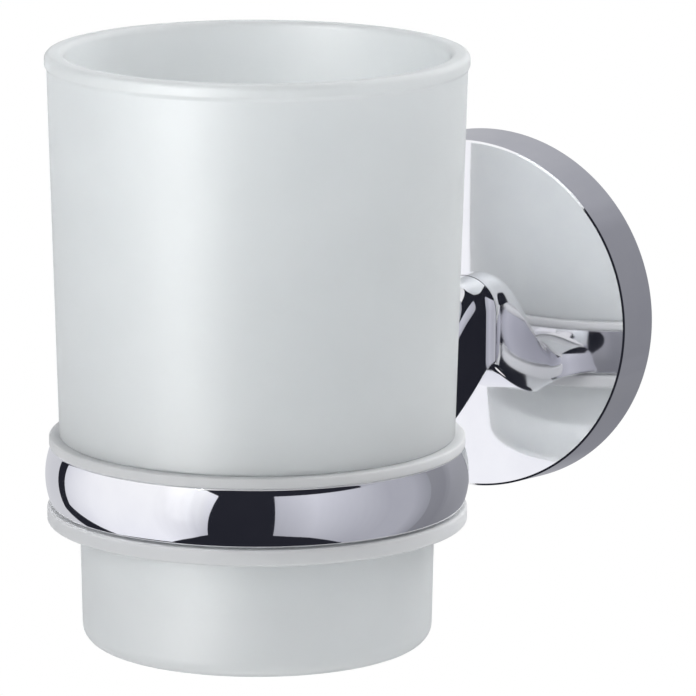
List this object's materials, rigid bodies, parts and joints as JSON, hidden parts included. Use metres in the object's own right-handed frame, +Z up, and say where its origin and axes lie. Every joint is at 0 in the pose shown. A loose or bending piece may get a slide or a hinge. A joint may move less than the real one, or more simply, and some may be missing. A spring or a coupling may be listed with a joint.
{
  "type": "wall-mounted tumbler holder",
  "caption": "Frosted glass tumbler that hangs by its shoulder in a chromed ring with a translucent liner, on a curved arm and a domed round wall rosette.",
  "frame": {"origin": "centre of the rosette on the wall plane", "axes": "+Y into the wall, -Y out into the room, +Z up, +X to the right as seen from the room"},
  "size_m": [0.0674, 0.1129, 0.0948],
  "materials": {
    "frosted_glass": "acid-etched, satin outside and inside",
    "translucent_plastic": "natural translucent polyethylene, moulded",
    "chrome": "polished chrome plate on a zinc casting",
    "zinc_plate": "zinc-plated pressed steel",
    "stainless_steel": "turned stainless steel"
  },
  "bodies": {
    "wall_holder": {"holder": "chrome", "rosette": "chrome", "wall_bracket": "zinc_plate", "set_screw": "stainless_steel", "arm_screw": "stainless_steel", "lock_washer": "stainless_steel"},
    "liner": {"liner": "translucent_plastic"},
    "tumbler": {"tumbler": "frosted_glass"}
  },
  "joints": [
    {"name": "liner_turn", "type": "hinge", "parent": "wall_holder", "child": "liner", "pos_m": [0, -0.0792, -0.0135], "axis": [0, 0, 1], "continuous": true},
    {"name": "tumbler_lift", "type": "slide", "parent": "liner", "child": "tumbler", "axis": [0, 0, 1], "range_m": [0, 0.045]}
  ]
}
